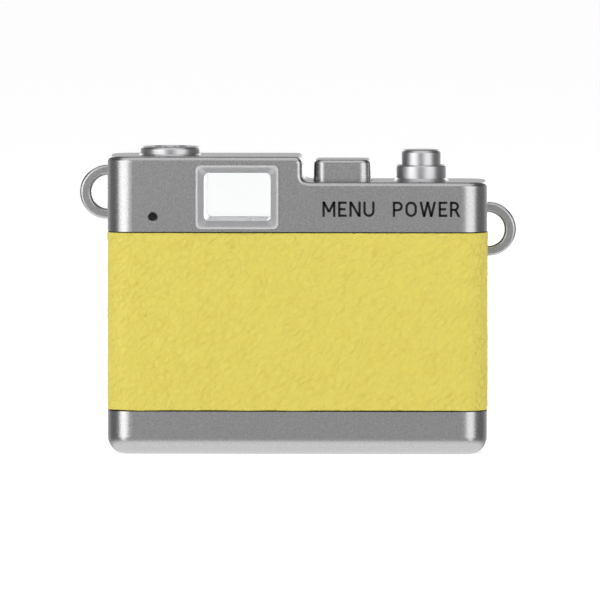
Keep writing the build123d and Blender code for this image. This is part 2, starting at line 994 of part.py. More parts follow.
def shell_screw(x, z):
    """A pan-head screw from the rear shell into a front post."""
    seat = -front_face + screw_head_height
    end = seat + screw_length - loose
    head = rod_y(screw_head_radius, -front_face, seat, x, z)
    screw = head + rod_y(screw_radius, seat, end, x, z)
    for angle in (0, 90):
        slot = Rot(Y=angle) * Box(screw_slot_length, screw_head_height, screw_slot)
        screw -= Pos(x, -front_face, z) * slot
    return screw


def flex_cable():
    """The flat cable from the main board's back, up and under the switch board."""
    y, z = board_back_y - flex_thickness / 2, switch_board_low - flex_thickness / 2
    points = [(y, board_high - flex_overlap), (y, z), (y - 2 * flex_overlap, z)]
    route = FilletPolyline(*points, radius=flex_radius)
    strip = trace(route, line_width=flex_thickness)
    band = extrude(Plane.YZ * strip, amount=flex_width)
    return Pos(mode_x - flex_width / 2, 0, 0) * band & flex_window()


def flex_window():
    """The stretch between the two boards that the cable may fill."""
    low = board_high - flex_overlap
    return span(-half_width, half_width, -half_depth, board_back_y, low, switch_board_low)


def solids():
    """Every piece of the camera by node name."""
    back = cell_back_y()
    lead_xs = (-lead_spacing / 2, lead_spacing / 2)
    return {
        "top_cover": top_cover(),
        "bottom_cover": bottom_cover(),
        "front_shell": front_shell(),
        "rear_shell": rear_shell(),
        "leatherette_front": leatherette_front(),
        "leatherette_rear": leatherette(-1),
        "strap_lug_left": strap_lug("left"),
        "strap_lug_right": strap_lug("right"),
        "finder_tube": finder_tube(),
        "finder_front_frame": finder_front_frame(),
        "finder_window": finder_window(),
        "rewind_disc": rewind_disc(),
        "mode_button": mode_button(),
        "power_button": power_button(),
        "power_collar": power_collar(),
        "switch_board": switch_board(),
        "mode_switch": switch_body(mode_x),
        "power_switch": switch_body(power_x),
        "mode_switch_plunger": switch_plunger(mode_x),
        "power_switch_plunger": switch_plunger(power_x),
        "board_screws": Compound([board_screw(x).solid() for x in (boss_inner_x, boss_outer_x)]),
        "lens_flange": lens_flange(),
        "lens_barrel": lens_barrel(),
        "lens_grip_ring": lens_grip_ring(),
        "lens_bezel": lens_bezel(),
        "lens_cover_glass": lens_cover_glass(),
        "lens_holder": lens_holder(),
        "lens_cell": lens_cell(),
        "front_lens_element": element(
            back + cell_length - front_element_thickness - loose, front_element_thickness, loose
        ),
        "rear_lens_element": element(back + loose, rear_element_thickness, loose),
        "image_sensor": image_sensor(),
        "infrared_filter": infrared_filter(),
        "main_board": main_board(),
        "processor": processor(),
        "card_socket": card_socket(),
        "memory_card": memory_card(),
        "usb_port": usb_port(),
        "status_led": status_led(),
        "light_pipe": light_pipe(),
        "microphone": microphone(),
        "battery": battery(),
        "battery_tape": battery_tape(),
        "battery_leads": Compound([battery_lead(x).solid() for x in lead_xs]),
        "shell_screws": Compound(
            [shell_screw(x, z).solid() for x in (-post_x, post_x) for z in post_heights]
        ),
        "flex_cable": flex_cable(),
    }


os.makedirs("parts", exist_ok=True)
for node, shape in solids().items():
    export_step(shape, f"parts/{node}.step")
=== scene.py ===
# %% [markdown]
# # A miniature retro camera, seen from behind
#
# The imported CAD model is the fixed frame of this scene. Every cell below either gives a
# CAD piece its finish or builds one new piece around the frame: the two sheets of pebbled
# leatherette and the two printed words. Everything is in metres, +X is right seen from
# behind, +Y is the way the lens looks and +Z is up.

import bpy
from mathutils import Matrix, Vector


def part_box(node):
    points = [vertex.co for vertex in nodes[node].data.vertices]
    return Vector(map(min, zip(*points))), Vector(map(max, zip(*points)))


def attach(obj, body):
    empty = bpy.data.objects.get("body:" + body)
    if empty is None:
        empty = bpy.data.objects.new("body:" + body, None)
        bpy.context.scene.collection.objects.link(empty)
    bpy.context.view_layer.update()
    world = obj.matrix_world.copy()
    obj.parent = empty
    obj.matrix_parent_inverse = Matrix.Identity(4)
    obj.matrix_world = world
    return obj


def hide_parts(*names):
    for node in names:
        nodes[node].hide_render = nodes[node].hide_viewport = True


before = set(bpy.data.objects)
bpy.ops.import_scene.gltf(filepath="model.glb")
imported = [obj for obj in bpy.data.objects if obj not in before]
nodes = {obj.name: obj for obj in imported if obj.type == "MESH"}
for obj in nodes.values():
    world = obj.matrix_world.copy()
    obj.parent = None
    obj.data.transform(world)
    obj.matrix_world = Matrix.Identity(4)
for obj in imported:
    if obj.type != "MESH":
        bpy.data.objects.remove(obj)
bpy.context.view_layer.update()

# %% Tools and units
import math

import bmesh
import bpy
import numpy as np
from mathutils import Vector

MM = 0.001
scene = bpy.context.scene

# %% [markdown]
# ## The camera
#
# The view is from well back through a long lens, a little above the small camera and a
# little to its right. A long lens keeps the verticals upright and still shows a sliver
# of each top face. It could be set by a focal length, but a target on the rear face, a
# distance and the width of the plane that fills the frame can each be judged on the object,
# so the focal length is worked out from them.

# %% The viewpoint
VIEW_DISTANCE = 1200 * MM
VIEW_HEIGHT = 86 * MM
VIEW_RIGHT = 31 * MM
VIEW_WIDTH = 69.96 * MM
TARGET_RIGHT = 0.39 * MM
TARGET_HEIGHT = 18.10 * MM
SENSOR_WIDTH = 36
FAR_CLIP = 100

rear_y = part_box("top_cover")[0].y
target = Vector((TARGET_RIGHT, rear_y, TARGET_HEIGHT))
eye = Vector((VIEW_RIGHT, rear_y - VIEW_DISTANCE, VIEW_HEIGHT))
lens = bpy.data.cameras.new("long_lens")
lens.sensor_width = SENSOR_WIDTH
lens.lens = SENSOR_WIDTH * (target - eye).length / VIEW_WIDTH
lens.clip_end = FAR_CLIP
viewer = bpy.data.objects.new("viewer", lens)
viewer.location = eye
viewer.rotation_euler = (target - eye).to_track_quat("-Z", "Y").to_euler()
scene.collection.objects.link(viewer)
scene.camera = viewer
print("focal length, mm:", round(lens.lens))

# %% [markdown]
# ## Light
#
# Small bright metal is lit by what it mirrors, so the room is drawn for the mirrors. Straight
# behind the body it is mid grey, which keeps the flat silver faces grey, and ahead of it a
# little lighter, which the top faces pick up at a glancing angle. Towards both sides the room
# darkens, which gives every rounded corner a dark edge. Two wide upright soft boxes in between
# draw the bright band on each rear corner, and two narrow ones do the same in front. Four
# fills light the leatherette round the body and stay out of the mirrors. Overhead a cloth
# gives the rounded top edge its thin light line, and light from below brightens the rounded
# base. The display transform is the plain one, so that a colour chosen from the object stays
# itself.

# %% Room
scene.view_settings.view_transform = "Standard"
MID_GREY, SIDE_GREY, LOW_WHITE = 0.50, 0.22, 1.35
SIDE_FROM, SIDE_TO = 0.72, 0.98
LOW_FROM, LOW_TO = -0.12, -0.62
HIGH_FROM, HIGH_TO, HIGH_SHARE = 0.10, 0.45, 0.25
FRONT_FROM, FRONT_TO, FRONT_GAIN = 0.60, 0.97, 1.45
room = bpy.data.worlds.new("studio_room")
room.use_nodes = True
scene.world = room


def room_light(tree):
    """The room's radiance by direction: grey behind, lighter ahead, dark at the sides and
    above the rear, white below. Each ramp is the smooth step 3t^2 - 2t^3 of one direction
    component; the grey is their product, and the light from below wins where it is brighter."""
    parts = tree.nodes.new("ShaderNodeSeparateXYZ")
    tree.links.new(tree.nodes.new("ShaderNodeTexCoord").outputs["Generated"], parts.inputs["Vector"])
    aside = tree.nodes.new("ShaderNodeMath")
    aside.operation = "ABSOLUTE"
    tree.links.new(parts.outputs["X"], aside.inputs[0])

    def ramp(source, start, end, low, high):
        step = tree.nodes.new("ShaderNodeMapRange")
        step.interpolation_type = "SMOOTHSTEP"
        for name, value in (("From Min", start), ("From Max", end), ("To Min", low), ("To Max", high)):
            step.inputs[name].default_value = value
        tree.links.new(source, step.inputs["Value"])
        return step.outputs["Result"]

    def combine(operation, one, other):
        node = tree.nodes.new("ShaderNodeMath")
        node.operation = operation
        tree.links.new(one, node.inputs[0])
        tree.links.new(other, node.inputs[1])
        return node.outputs["Value"]

    level = ramp(aside.outputs["Value"], SIDE_FROM, SIDE_TO, MID_GREY, SIDE_GREY)
    level = combine("MULTIPLY", level, ramp(parts.outputs["Y"], FRONT_FROM, FRONT_TO, 1, FRONT_GAIN))
    above = ramp(parts.outputs["Z"], HIGH_FROM, HIGH_TO, 1, HIGH_SHARE)
    above = combine("MAXIMUM", above, ramp(parts.outputs["Y"], FRONT_FROM, FRONT_TO, 0, 1))
    dimmed = combine("MULTIPLY", level, above)
    return combine("MAXIMUM", dimmed, ramp(parts.outputs["Z"], LOW_FROM, LOW_TO, 0, LOW_WHITE))


tree = room.node_tree
tree.links.new(room_light(tree), tree.nodes["Background"].inputs["Color"])
print("room grey behind:", MID_GREY, "ahead:", round(MID_GREY * FRONT_GAIN, 3), "at the sides:", SIDE_GREY)


# %% Soft boxes and overhead cloth
def soft_box(name, azimuth, distance, width, low, high, radiance):
    """An upright area light that faces the body, between two heights.

    The azimuth is counted from straight behind the body (-Y) towards +X, so the place is
    distance times (sin a, -cos a). A flat lamp of area A that shines with an even radiance L
    gives a power of pi A L."""
    data = bpy.data.lights.new(name, "AREA")
    data.shape = "RECTANGLE"
    data.size, data.size_y = width, high - low
    data.energy = math.pi * width * (high - low) * radiance
    turn = math.radians(azimuth)
    direction = Vector((math.sin(turn), -math.cos(turn), 0))
    light = bpy.data.objects.new(name, data)
    light.location = distance * direction + Vector((0, 0, (low + high) / 2))
    light.rotation_euler = (-direction).to_track_quat("-Z", "Z").to_euler()
    light.visible_camera = False
    scene.collection.objects.link(light)
    return light


NARROW_BOX = 0.12
CLOTH_STRENGTH, CLOTH_ANGLE, CLOTH_TILT = 1.3, 80, 22
BOX = {"distance": 0.45, "width": 0.42, "low": -0.08, "high": 0.28}
soft_box("left_box", -41, radiance=2.05, **BOX)
soft_box("right_box", 41, radiance=1.5, **BOX)
for azimuth, radiance in ((-82, 1.9), (82, 1.3)):
    soft_box(f"side_fill_{azimuth}", azimuth, radiance=radiance, **BOX).visible_glossy = False
for azimuth in (-151, 151):
    soft_box(f"front_fill_{azimuth}", azimuth, radiance=1.9, **BOX).visible_glossy = False
BOX["width"] = NARROW_BOX
for azimuth in (-162, 162):
    soft_box(f"front_box_{azimuth}", azimuth, radiance=2.0, **BOX)
cloth = bpy.data.lights.new("overhead_cloth", "SUN")
cloth.energy = CLOTH_STRENGTH
cloth.angle = math.radians(CLOTH_ANGLE)
overhead = bpy.data.objects.new("overhead_cloth", cloth)
overhead.rotation_euler = (math.radians(CLOTH_TILT), 0, 0)
scene.collection.objects.link(overhead)

# %% [markdown]
# ## Colours and nodes
#
# Screens store colours with a curve, and shaders need them without it. One function undoes
# the curve. One more adds a shader node with its settings and its links, which keeps each
# finish below to a few readable lines.


# %% Helpers for finishes
def linear(hex_colour):
    """A colour such as "#91918F" as linear RGBA.

    Each channel c (0 to 1) becomes c / 12.92 up to 0.04045, and above that
    ((c + 0.055) / 1.055) to the power 2.4."""
    channels = [int(hex_colour[i : i + 2], 16) / 255 for i in (1, 3, 5)]
    opened = [c / 12.92 if c <= 0.04045 else ((c + 0.055) / 1.055) ** 2.4 for c in channels]
    return (*opened, 1.0)


def add(tree, kind, settings=(), sockets=(), links=()):
    """Adds one node: attributes from settings, values from sockets, wires from links."""
    node = tree.nodes.new("ShaderNode" + kind)
    for name, value in dict(settings).items():
        setattr(node, name, value)
    for name, value in dict(sockets).items():
        node.inputs[name].default_value = value
    for name, source in dict(links).items():
        tree.links.new(source, node.inputs[name])
    return node


def per_metre(millimetres):
    """A noise scale: one feature every so many millimetres."""
    return 1 / (millimetres * MM)


def finish(name, colour, metallic, roughness, **sockets):
    """A new material with a principled shader set on its own sockets."""
    material = bpy.data.materials.new(name)
    material.use_nodes = True
    shader = material.node_tree.nodes["Principled BSDF"]
    shader.inputs["Base Color"].default_value = linear(colour)
    shader.inputs["Metallic"].default_value = metallic
    shader.inputs["Roughness"].default_value = roughness
    for socket, value in sockets.items():
        shader.inputs[socket.replace("_", " ")].default_value = value
    return material, material.node_tree, shader


def mottle(tree, size, low, high, vector=None, detail=2.0):
    """A noise of features so many millimetres wide, spread between two greys."""
    place = vector or add(tree, "TexCoord").outputs["Object"]
    grain = {"Scale": per_metre(size), "Detail": detail}
    noise = add(tree, "TexNoise", sockets=grain, links={"Vector": place}).outputs["Fac"]
    spread = add(tree, "MapRange", sockets={"To Min": low, "To Max": high}, links={"Value": noise})
    return spread.outputs["Result"]


def tint(tree, dark, light, factor):
    """A colour between two hex colours, by a factor from 0 to 1."""
    mix = add(tree, "Mix", {"data_type": "RGBA"}, links={"Factor": factor})
    mix.inputs["A"].default_value = linear(dark)
    mix.inputs["B"].default_value = linear(light)
    return mix.outputs["Result"]


def relief(tree, shader, height, depth):
    """Bump of a depth in millimetres from a height of 0 to 1."""
    bump = add(tree, "Bump", sockets={"Distance": depth * MM, "Strength": 1.0}, links={"Height": height})
    tree.links.new(bump.outputs["Normal"], shader.inputs["Normal"])


print("half-way grey #808080 in linear light:", round(linear("#808080")[0], 3))


# %% [markdown]
# ## The floor
#
# A plain pale sheet of opal acrylic, wide enough that its far edge never comes into the
# picture. A little light comes up through it, as on a light table, so the contact shadow
# stays soft. Mirrors look past it to the room's own light from below. Seen from underneath
# it is clear, so that the base and a lowered memory card can be looked at.

# %% Pale floor
FLOOR_HALF = 20
FLOOR_GAP = 0.02 * MM
FLOOR_GLOW = 0.5
floor_mesh = bpy.data.meshes.new("pale_floor")
corners = [(x * FLOOR_HALF, y * FLOOR_HALF, -FLOOR_GAP) for x, y in ((-1, -1), (1, -1), (1, 1), (-1, 1))]
floor_mesh.from_pydata(corners, [], [(0, 1, 2, 3)])
opal, opal_tree, opal_shader = finish("matt_opal_acrylic", "#F0F0F0", 0, 0.9, Specular_IOR_Level=0)
opal_shader.inputs["Emission Color"].default_value = linear("#FFFFFF")
opal_shader.inputs["Emission Strength"].default_value = FLOOR_GLOW
seen_from_below = add(opal_tree, "NewGeometry").outputs["Backfacing"]
under = add(opal_tree, "MixShader", links={"Fac": seen_from_below})
opal_tree.links.new(opal_shader.outputs["BSDF"], under.inputs[1])
opal_tree.links.new(add(opal_tree, "BsdfTransparent").outputs["BSDF"], under.inputs[2])
opal_tree.links.new(under.outputs["Shader"], opal_tree.nodes["Material Output"].inputs["Surface"])
floor_mesh.materials.append(opal)
floor = bpy.data.objects.new("pale_floor", floor_mesh)
floor.visible_glossy = False
scene.collection.objects.link(floor)
print("floor side, m:", 2 * FLOOR_HALF)

# %% [markdown]
# ## Silver paint
#
# The covers, the mode button and the strap lugs are moulded ABS sprayed with aluminium-flake
# lacquer. The flakes lie at slightly different angles, which gives the even grey its fine
# sparkle; under them the paint has a faint orange-peel wave. One smooth metal would look
# like polished steel, so the flakes vary the colour and the gloss. Real flakes are a few
# hundredths of a millimetre across, too fine to show, and are drawn at 0.16 mm. The finder's
# frame gets the same paint made smoother and less metallic, and also paler: that paleness is
# painted light, which stands in for the light its bevels catch.

# %% Silver flake paint on ABS
FLAKE = 0.16
GLOSS_SPREAD = 0.07
PEEL_DEPTH = 0.0022


def silver_paint(name, colour_dark, colour_light, roughness, metallic=1.0):
    """Metallic paint: flakes vary the colour and the gloss, orange peel bends the surface."""
    material, tree, shader = finish(name, colour_light, metallic, roughness)
    flakes = mottle(tree, FLAKE, -0.6, 1.6, detail=1.0)
    tree.links.new(tint(tree, colour_dark, colour_light, flakes), shader.inputs["Base Color"])
    gloss = mottle(tree, FLAKE * 1.5, roughness - GLOSS_SPREAD, roughness + GLOSS_SPREAD)
    tree.links.new(gloss, shader.inputs["Roughness"])
    peel = mottle(tree, FLAKE * 2, 0, 1)
    relief(tree, shader, peel, PEEL_DEPTH)
    return material


paint = silver_paint("silver_flake_paint_on_abs", "#A7A7A8", "#B6B6B7", 0.28)
# The finder frame's paler colours are painted light that brightens its bevels; its smoother, less metallic
# gloss is the paint's own.
lightened_frame_paint = silver_paint("satin_silver_paint_lightened_in_finder_frame", "#B4B4B6", "#C2C2C4", 0.4, 0.5)

# %% [markdown]
# ## Satin chrome
#
# The round trim is vacuum-plated ABS: brighter and smoother than the paint, and nearly a
# mirror. Plating follows the moulding under it, so its gloss and its surface are slowly
# uneven, which keeps the highlights from looking drawn. A metal keeps the default IOR.


# %% Satin chrome plate
def satin_chrome(name, colour, roughness, wave):
    """Plated plastic: nearly mirror-like, with a slow unevenness of gloss and surface."""
    material, tree, shader = finish(name, colour, 1.0, roughness)
    gloss = mottle(tree, 0.35, roughness - 0.04, roughness + 0.05)
    tree.links.new(gloss, shader.inputs["Roughness"])
    relief(tree, shader, mottle(tree, 0.5, 0, 1), wave)
    return material


chrome = satin_chrome("satin_chrome_plate_on_abs", "#BBBBBD", 0.34, 0.002)

# %% Assign to the silver pieces
PAINTED = ("top_cover", "bottom_cover", "mode_button", "strap_lug_left", "strap_lug_right")
PLATED = ("rewind_disc", "power_button", "power_collar", "lens_flange", "lens_barrel", "lens_grip_ring")


def dress(names, material):
    """Gives CAD nodes one finish by setting their material slot."""
    for name in names:
        mesh = nodes[name].data
        mesh.materials.clear()
        mesh.materials.append(material)


dress(PAINTED, paint)
dress(("finder_tube", "finder_front_frame"), lightened_frame_paint)
dress(PLATED, chrome)
print("painted pieces:", len(PAINTED), "plated pieces:", len(PLATED))

# %% [markdown]
# ## Dark and clear parts
#
# The shells, the bezel and the switches are dark mouldings, and the finder's pane, the light
# pipe and the lenses are clear. A moulding takes its fine grain from the spark-eroded mould,
# which breaks up its highlights. Typical values are used: ABS has an IOR of 1.54, acrylic
# 1.49 and cover glass 1.52.


# %% Moulded plastics
def moulded(name, colour_dark, colour_light, roughness, grain=0.3, depth=0.006):
    """Moulded plastic with a fine spark-eroded grain."""
    material, tree, shader = finish(name, colour_light, 0, roughness, IOR=1.54)
    clouds = mottle(tree, grain * 3, 0, 1)
    tree.links.new(tint(tree, colour_dark, colour_light, clouds), shader.inputs["Base Color"])
    gloss = mottle(tree, grain * 2, roughness - 0.06, roughness + 0.06)
    tree.links.new(gloss, shader.inputs["Roughness"])
    relief(tree, shader, mottle(tree, grain, 0, 1, detail=3), depth)
    return material


shell_abs = moulded("black_moulded_abs", "#141415", "#1E1E20", 0.48)
dress(("front_shell", "rear_shell", "lens_holder"), shell_abs)
nylon = moulded("black_nylon_switch_case", "#1A1A1A", "#242424", 0.55)
dress(("mode_switch", "power_switch"), nylon)
acetal = moulded("white_acetal_plunger", "#D8D8D2", "#E8E8E2", 0.4)
dress(("mode_switch_plunger", "power_switch_plunger"), acetal)
dress(("memory_card",), moulded("black_card_plastic", "#101012", "#19191B", 0.36, 0.2))
epoxy = moulded("black_moulded_epoxy", "#161617", "#212122", 0.42, 0.2)
dress(("processor", "image_sensor"), epoxy)
dress(("battery_tape",), moulded("grey_foam_tape", "#3A3A3A", "#4C4C4C", 0.9, 0.25, 0.05))
dress(("battery_leads",), moulded("red_vinyl_sleeve", "#8E1410", "#A81A15", 0.45))
dress(("flex_cable",), moulded("amber_polyimide_film", "#9A5A16", "#B8701E", 0.3))
dress(("lens_bezel",), moulded("black_anodised_bezel", "#0B0B0C", "#151517", 0.3, 0.15, 0.003))
print("materials so far:", len(bpy.data.materials))


# %% Clear plastics and glass
def clear(name, colour, ior, roughness, coat=0.0, coat_colour="#FFFFFF"):
    """A clear material: light passes through, bent by its IOR, with a faint surface wave."""
    material, tree, shader = finish(name, colour, 0, roughness, IOR=ior, Transmission_Weight=1.0)
    shader.inputs["Coat Weight"].default_value = coat
    shader.inputs["Coat Tint"].default_value = linear(coat_colour)
    relief(tree, shader, mottle(tree, 1.5, 0, 1), 0.001)
    return material


dress(("finder_window",), clear("clear_moulded_acrylic", "#FCFEFE", 1.49, 0.01))
dress(("light_pipe",), clear("clear_light_pipe", "#E8ECEC", 1.49, 0.08))
dress(("lens_cover_glass",), clear("coated_cover_glass", "#E4E8F6", 1.52, 0.02, 0.6, "#7C8CE0"))
lens_glass = clear("coated_lens_glass", "#DCE2F4", 1.62, 0.01, 0.8, "#8A70D8")
dress(("front_lens_element", "rear_lens_element"), lens_glass)
dress(("infrared_filter",), clear("infrared_cut_filter", "#BFE6E0", 1.52, 0.02, 0.5, "#E08070"))
dress(("status_led",), clear("clear_led_epoxy", "#F2F0DC", 1.55, 0.1))


# %% Metals and boards inside
def drawn_metal(name, colour, roughness, along, pitch=0.12):
    """Rolled sheet metal: noise stretched along the rolling direction."""
    material, tree, shader = finish(name, colour, 1.0, roughness)
    place = add(tree, "TexCoord").outputs["Object"]
    stretched = add(tree, "Mapping", sockets={"Scale": along}, links={"Vector": place}).outputs["Vector"]
    gloss = mottle(tree, pitch, roughness - 0.08, roughness + 0.1, stretched)
    tree.links.new(gloss, shader.inputs["Roughness"])
    relief(tree, shader, mottle(tree, pitch, 0, 1, stretched), 0.002)
    return material


tin_plate = drawn_metal("rolled_tin_plated_steel", "#BDBDBA", 0.28, (1, 1, 0.06))
dress(("card_socket", "usb_port", "microphone"), tin_plate)
screw_steel = drawn_metal("zinc_plated_screw_steel", "#A4A6A8", 0.32, (1, 0.1, 1))
dress(("shell_screws", "board_screws"), screw_steel)
dress(("battery",), drawn_metal("laminated_foil_pouch", "#C4C6C8", 0.34, (0.2, 1, 1), 0.5))
dress(("lens_cell",), drawn_metal("blackened_brass", "#2A2723", 0.4, (1, 0.1, 1)))


TRACK_CELL = 1.2
TRACK_DEPTH = 0.02


def solder_mask():
    """Green epoxy over copper tracks: a coarse grid of cells gives the lighter tracks."""
    material, tree, shader = finish("green_solder_mask_on_fibreglass", "#0E4A26", 0, 0.3, IOR=1.5)
    place = add(tree, "TexCoord").outputs["Object"]
    square = {"distance": "MANHATTAN", "feature": "F1"}
    cells = add(tree, "TexVoronoi", square, {"Scale": per_metre(TRACK_CELL)}, {"Vector": place})
    border = {"From Min": 0.30, "From Max": 0.36}
    edge = add(tree, "MapRange", sockets=border, links={"Value": cells.outputs["Distance"]})
    tree.links.new(tint(tree, "#0B3C1F", "#1C6A38", edge.outputs["Result"]), shader.inputs["Base Color"])
    relief(tree, shader, edge.outputs["Result"], TRACK_DEPTH)
    return material


dress(("main_board", "switch_board"), solder_mask())
print("materials so far:", len(bpy.data.materials))

# %% [markdown]
# ## Leatherette
#
# The band is a thin vinyl sheet embossed like wrinkled leather and glued round the body. It
# could be a plain sheet with a bump map, but then its outline and its mesh would be smooth.
# Its relief is real geometry here: the sheet is unrolled to a flat field with one axis
# along the body's outline and one up it, a height is worked out for every point of the
# field, and the point is pushed out along the outline's normal by that height.
#
# The relief itself has two layers. Low pebbles come from a cell pattern whose cells are
# stretched along a slant; the creases between them are deep in some places and gone in
# others, so that few cells are closed all round. Smaller cells break the pebbles up again.
# Wrinkles finer than the mesh are left to the bump in the vinyl's material.


# %% Noise and cells as whole arrays
def smooth_noise(u, v, seed):
    """Smooth random values from 0 to 1 with features one unit wide.

    Each point takes the values at the four corners of its unit square, blended with the
    weight 3t^2 - 2t^3 in each direction."""
    table_side = 64
    values = np.random.default_rng(seed).random((table_side, table_side))
    iu, iv = np.floor(u).astype(int), np.floor(v).astype(int)
    fu, fv = u - iu, v - iv
    wu, wv = fu * fu * (3 - 2 * fu), fv * fv * (3 - 2 * fv)
    a, b = iu % table_side, iv % table_side
    c, d = (iu + 1) % table_side, (iv + 1) % table_side
    low = values[a, b] * (1 - wu) + values[c, b] * wu
    high = values[a, d] * (1 - wu) + values[c, d] * wu
    return low * (1 - wv) + high * wv


def cell_edges(u, v, seed):
    """How far each point is from the border of its cell, in units of one cell.

    Every unit square holds one random centre. The distances to the nearest and the second
    nearest centre are found among the 25 squares around the point, and their difference
    is 0 on a border."""
    table_side = 128
    centres = np.random.default_rng(seed).random((2, table_side, table_side))
    iu, iv = np.floor(u).astype(int), np.floor(v).astype(int)
    nearest, second = np.full(u.shape, 9.0), np.full(u.shape, 9.0)
    for du in range(-2, 3):
        for dv in range(-2, 3):
            a, b = (iu + du) % table_side, (iv + dv) % table_side
            distance = np.hypot(iu + du + centres[0, a, b] - u, iv + dv + centres[1, a, b] - v)
            second = np.minimum(second, np.maximum(nearest, distance))
            nearest = np.minimum(nearest, distance)
    return second - nearest


# %% The embossed height
PEBBLE = 1.05 * MM
WRINKLE = 0.5 * MM
SLANT = math.radians(48)
STRETCH = 1.5
PEBBLE_DEPTH = 0.085 * MM
WRINKLE_DEPTH = 0.08 * MM
CREASE_WIDTH = 0.16
WANDER = 0.55
SWELL = 0.2


def creases(u, v, seed):
    """Creases between cells, from 0 on a crown to 1 in the deepest crease.

    A crease falls off as exp(-border distance / width), times a smooth noise that is cut
    at both ends so that some of the borders vanish and some reach their full depth."""
    depth = np.clip(1.7 * smooth_noise(u * 1.3 + 3, v * 1.3 + 5, seed + 1) - 0.25, 0, 1)
    return np.exp(-cell_edges(u + 40, v + 40, seed) / CREASE_WIDTH) * depth


def embossing(along, up, seed):
    """Height of the relief, at most 0, for points given along and up the sheet.

    The points are turned by the slant, squeezed along it so that cells come out longer
    that way, and shifted by smooth noise so that borders wander."""
    slanted = along * math.cos(SLANT) + up * math.sin(SLANT)
    across = -along * math.sin(SLANT) + up * math.cos(SLANT)
    wander_u = smooth_noise(along / WRINKLE + 7, up / WRINKLE, seed + 1) - 0.5
    wander_v = smooth_noise(along / WRINKLE, up / WRINKLE + 9, seed + 2) - 0.5
    u = slanted / (PEBBLE * STRETCH) + WANDER * wander_u
    v = across / PEBBLE + WANDER * wander_v
    finer = PEBBLE / WRINKLE
    pebbles = PEBBLE_DEPTH * creases(u, v, seed + 3)
    wrinkles = WRINKLE_DEPTH * creases(u * finer, v * finer, seed + 8)
    swell = smooth_noise(u * 0.8, v * 0.8, seed + 6)
    return -pebbles - wrinkles + SWELL * WRINKLE_DEPTH * (swell - 1)


print("deepest relief, mm:", round((PEBBLE_DEPTH + WRINKLE_DEPTH * (1 + SWELL)) / MM, 3))


# %% [markdown]
# The sheet follows the cover's outline, which is read from the CAD boxes: straight sides, a
# straight rear or front, and quarter circles between them. Walking along it gives a point
# and an outward normal for every distance.

# %% The outline of the band
CORNER = 3.0 * MM
GRID = 0.17 * MM
EDGE_ROLL = 0.16 * MM
EDGE_SINK = 0.8
SKIN = 0.6 * MM
PROUD = 0.05 * MM

band_low, band_high = (corner.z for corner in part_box("leatherette_rear"))
half_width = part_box("top_cover")[1].x
half_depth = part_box("top_cover")[1].y
flat_half = half_width - CORNER
side_run = half_depth - CORNER
quarter = CORNER * math.pi / 2
half_length = flat_half + quarter + side_run


def walk_outline(distance, side):
    """Points and normals along half the body's plan, for distances from its middle.

    Up to the flat half the walk runs straight along the rear or the front, then round a
    quarter circle, then straight along the end to the middle plane. side is -1 for the
    rear and +1 for the front."""
    run, end = np.abs(distance), np.sign(distance)
    angle = np.clip((run - flat_half) / CORNER, 0, math.pi / 2)
    straight = np.minimum(run, flat_half)
    beyond = np.clip(run - flat_half - quarter, 0, None)
    x = end * (straight + CORNER * np.sin(angle))
    y = side * (half_depth - CORNER * (1 - np.cos(angle)) - beyond)
    return x, y, end * np.sin(angle), side * np.cos(angle)


def spaced(low, high, step):
    """Evenly spaced values with extra ones close to both ends, for the rolled edge."""
    near = EDGE_ROLL * np.array([0, 0.1, 0.35, 0.7])
    inner = np.linspace(low + EDGE_ROLL, high - EDGE_ROLL, max(2, round((high - low) / step)))
    return np.concatenate([low + near, inner, high - near[::-1]])


def rolled(distance):
    """How far the sheet's edge has rolled in, for a distance from the edge.

    A quarter circle of the roll's radius: r - sqrt(r^2 - (r - d)^2) within r of the edge,
    of which the sheet sinks in by four fifths."""
    inside = np.clip(1 - distance / EDGE_ROLL, 0, 1)
    return EDGE_ROLL * (1 - np.sqrt(1 - inside**2)) * EDGE_SINK


print("band height, mm:", round((band_high - band_low) / MM, 2))
print("half length of the walk, mm:", round(half_length / MM, 2))


# %% Grids and meshes
def grid_faces(rows, columns, start=0):
    """Corner numbers of every quad of a grid stored row by row."""
    first = start + (np.arange(rows - 1)[:, None] * columns + np.arange(columns - 1)[None, :]).ravel()
    return np.stack([first, first + 1, first + columns + 1, first + columns], 1)


def mesh_object(name, points, faces, material):
    """A smooth-shaded mesh object at the origin from arrays of points and quads."""
    mesh = bpy.data.meshes.new(name)
    mesh.vertices.add(len(points))
    mesh.vertices.foreach_set("co", np.asarray(points, np.float32).ravel())
    mesh.loops.add(faces.size)
    mesh.loops.foreach_set("vertex_index", faces.ravel().astype(np.int32))
    mesh.polygons.add(len(faces))
    starts = np.arange(0, faces.size, faces.shape[1], dtype=np.int32)
    mesh.polygons.foreach_set("loop_start", starts)
    mesh.polygons.foreach_set("use_smooth", np.ones(len(faces), bool))
    mesh.update(calc_edges=True)
    mesh.validate()
    piece = bpy.data.objects.new(name, mesh)
    scene.collection.objects.link(piece)
    mesh.materials.append(material)
    return piece


def weld(piece, gap=0.002 * MM):
    """Joins points that lie on each other and points every face outwards."""
    work = bmesh.new()
    work.from_mesh(piece.data)
    bmesh.ops.remove_doubles(work, verts=work.verts, dist=gap)
    bmesh.ops.recalc_face_normals(work, faces=work.faces)
    work.to_mesh(piece.data)
    work.free()


def apply_modifiers(piece):
    """Replaces a piece's mesh by the result of its modifiers."""
    graph = bpy.context.evaluated_depsgraph_get()
    made = bpy.data.meshes.new_from_object(piece.evaluated_get(graph))
    piece.modifiers.clear()
    piece.data = made


# %% [markdown]
# The vinyl itself is satin. Its colour also carries painted light and shade from the sheet's
# own height attribute: slightly lighter on the pebbles' crowns, and a darker, deeper yellow
# painted into the creases as their shade. A net of wrinkles too fine for the mesh stays in
# the bump; its cells lean the same way as the pebbles, and a slow noise fades them in and out.


# %% Embossed yellow vinyl
FINE_WRINKLE = 0.78
FINE_DEPTH = 0.115
FADE_SIZE = 0.9


